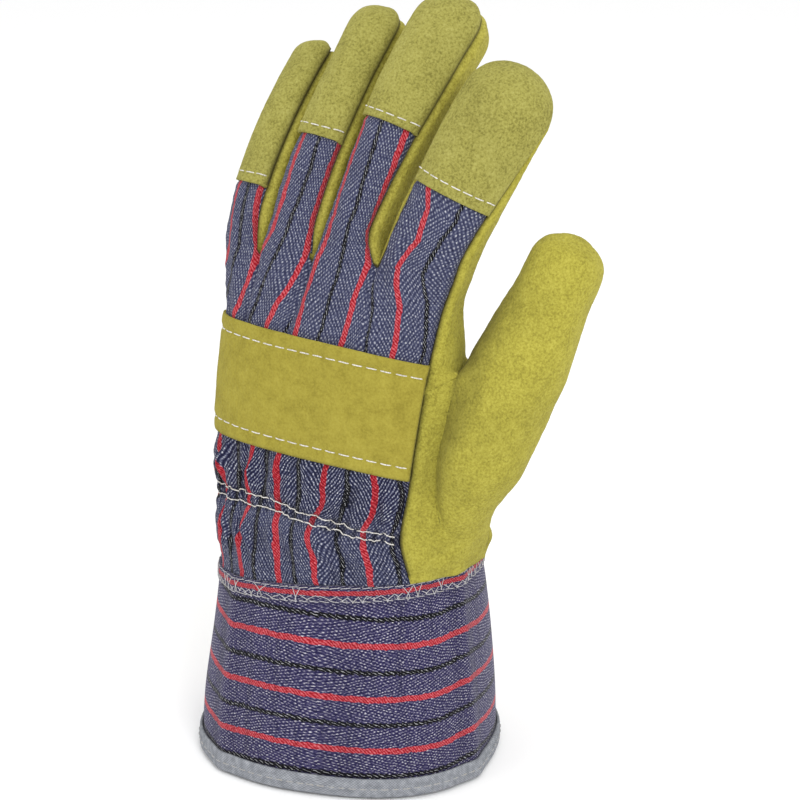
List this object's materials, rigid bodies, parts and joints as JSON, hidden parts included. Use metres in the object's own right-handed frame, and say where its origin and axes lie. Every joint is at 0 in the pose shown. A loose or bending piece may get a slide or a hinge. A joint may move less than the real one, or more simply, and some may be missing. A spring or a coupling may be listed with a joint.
{
  "type": "work glove",
  "caption": "Left-hand docker work glove filled as if worn: split leather palm, fingertips and knuckle strap, striped twill back and a flared stiff cuff.",
  "frame": {"origin": "centre of the cuff's mouth, where the hand goes in", "axes": "+X towards the thumb side, +Y towards the palm, +Z towards the fingertips"},
  "size_m": [0.1347, 0.0947, 0.2536],
  "materials": {
    "split_leather": "rough napped suede",
    "striped_twill": "matt herringbone twill with red and black stripes",
    "hem_binding": "matt cotton tape",
    "overlocked_edge": "matt twill under overlock thread"
  },
  "bodies": {
    "root": {"cuff": "striped_twill", "cuff_hem": "hem_binding", "cuff_seam_band": "overlocked_edge", "back_cloth": "striped_twill", "knuckle_strap": "split_leather", "little_cap": "split_leather", "ring_cap": "split_leather", "middle_cap": "split_leather", "index_cap": "split_leather", "palm": "split_leather", "ring_front": "split_leather", "middle_front": "split_leather", "thumb_back": "split_leather", "thumb_front": "split_leather", "fourchette_little_ring": "split_leather", "fourchette_ring_middle": "split_leather", "fourchette_middle_index": "split_leather"}
  },
  "joints": []
}
